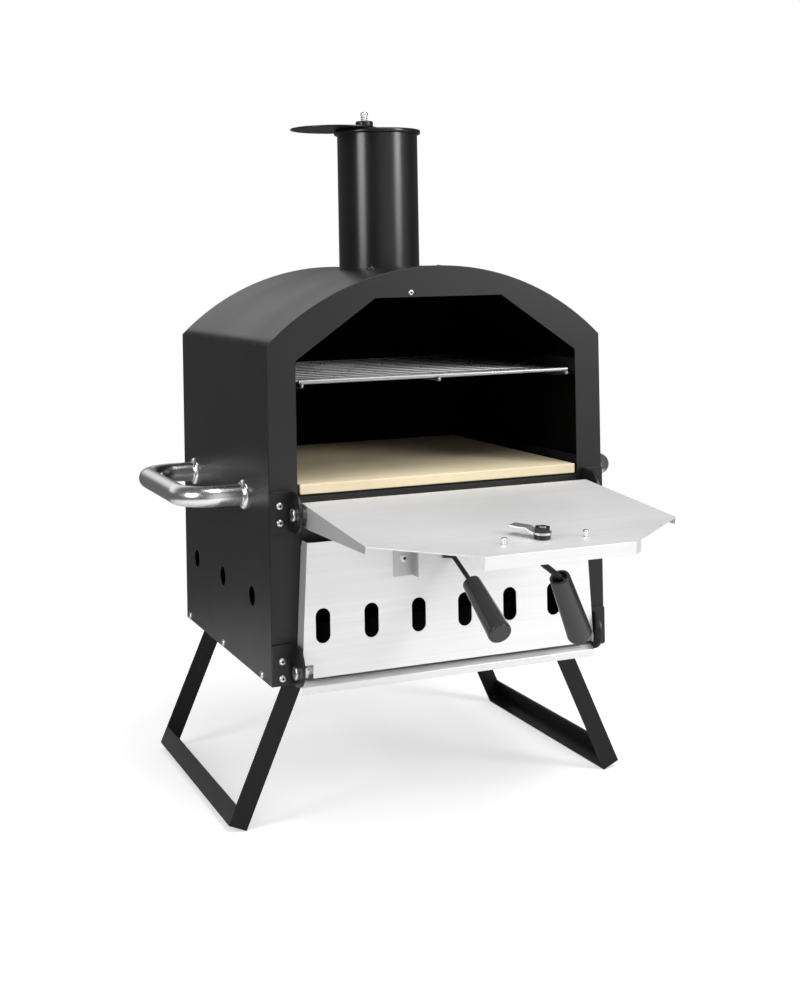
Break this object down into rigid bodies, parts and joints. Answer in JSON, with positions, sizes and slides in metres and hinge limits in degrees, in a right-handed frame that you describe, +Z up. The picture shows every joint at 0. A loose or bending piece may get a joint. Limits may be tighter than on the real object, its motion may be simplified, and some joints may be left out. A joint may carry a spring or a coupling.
{
  "type": "portable pizza oven",
  "caption": "Portable pizza oven with arched black body, open upper door, slotted lower door, chimney with turning damper, side handles and folding leg frames",
  "frame": {"origin": "Centre of the bounding box in X and Y, on the ground under the feet; the open upper door counts.", "axes": "X to the right seen from the front, Y from the front to the back, Z up."},
  "size_m": [0.516, 0.5744, 0.7264],
  "materials": {
    "black_sheet": "satin black heat-proof powder coat",
    "bright_sheet": "brushed stainless sheet",
    "handle_steel": "brushed stainless tube",
    "cordierite": "unglazed, fine sandy grain",
    "bright_wire": "bright plated wire",
    "zinc_screw": "bright plated screw",
    "black_screw": "black oxide",
    "grip_plastic": "satin black heat-proof plastic",
    "inner_steel": "plain dark steel, inside the fire chamber"
  },
  "bodies": {
    "oven_body": {"outer_shell": "black_sheet", "front_fascia": "black_sheet", "rear_panel": "black_sheet", "base_pan": "black_sheet", "front_sill": "bright_sheet", "fuel_tray": "inner_steel", "stone_shelf": "inner_steel", "pizza_stone": "cordierite", "cooking_rack": "bright_wire", "rack_ledges": "inner_steel", "chimney_tube": "black_sheet", "chimney_saddle": "inner_steel", "damper_screw": "zinc_screw", "damper_spring": "zinc_screw", "roof_screws": "black_screw", "side_screws": "zinc_screw", "fascia_screw": "zinc_screw", "lower_hinge_brackets": "black_sheet", "upper_hinge_brackets": "black_sheet", "hinge_screws": "zinc_screw", "upper_hinge_pins": "zinc_screw", "lower_hinge_pins": "zinc_screw", "side_handle_left": "handle_steel", "side_handle_right": "handle_steel", "handle_cups": "handle_steel", "handle_bolts": "zinc_screw", "leg_brackets": "black_sheet", "leg_pivots": "zinc_screw"},
    "upper_door_body": {"upper_door": "bright_sheet", "latch_plate": "bright_sheet", "upper_door_screws": "zinc_screw"},
    "latch": {"latch_shaft": "zinc_screw", "cam_tongue": "bright_sheet", "latch_hub": "black_screw", "latch_bar": "black_screw", "upper_grip": "grip_plastic"},
    "lower_door_body": {"lower_door": "bright_sheet", "door_catch": "bright_sheet", "catch_screw": "zinc_screw", "lower_bar": "black_screw", "lower_grip": "grip_plastic"},
    "left_legs": {"leg_frame_left": "black_sheet"},
    "right_legs": {"leg_frame_right": "black_sheet"},
    "damper": {"damper_disc": "black_sheet", "damper_boss": "black_screw"}
  },
  "joints": [
    {"name": "upper_door_hinge", "type": "hinge", "parent": "oven_body", "child": "upper_door_body", "pos_m": [0, -0.05177, 0.31735], "axis": [-1, 0, 0], "range_deg": [0, 94.7]},
    {"name": "latch_turn", "type": "hinge", "parent": "upper_door_body", "child": "latch", "pos_m": [0, -0.24911, 0.30113], "axis": [0, -0.0819, 0.9966], "range_deg": [0, 145.5]},
    {"name": "lower_door_hinge", "type": "hinge", "parent": "oven_body", "child": "lower_door_body", "pos_m": [0, -0.05177, 0.16385], "axis": [1, 0, 0], "range_deg": [0, 90]},
    {"name": "left_leg_fold", "type": "hinge", "parent": "oven_body", "child": "left_legs", "pos_m": [-0.1453, 0.13953, 0.15785], "axis": [0, -1, 0], "range_deg": [0, 113.7]},
    {"name": "right_leg_fold", "type": "hinge", "parent": "oven_body", "child": "right_legs", "pos_m": [0.1453, 0.13953, 0.15785], "axis": [0, 1, 0], "range_deg": [0, 103]},
    {"name": "damper_swivel", "type": "hinge", "parent": "oven_body", "child": "damper", "pos_m": [-0.027, 0.09523, 0.70885], "axis": [0, 0, 1], "range_deg": [-76.8, 90]}
  ]
}
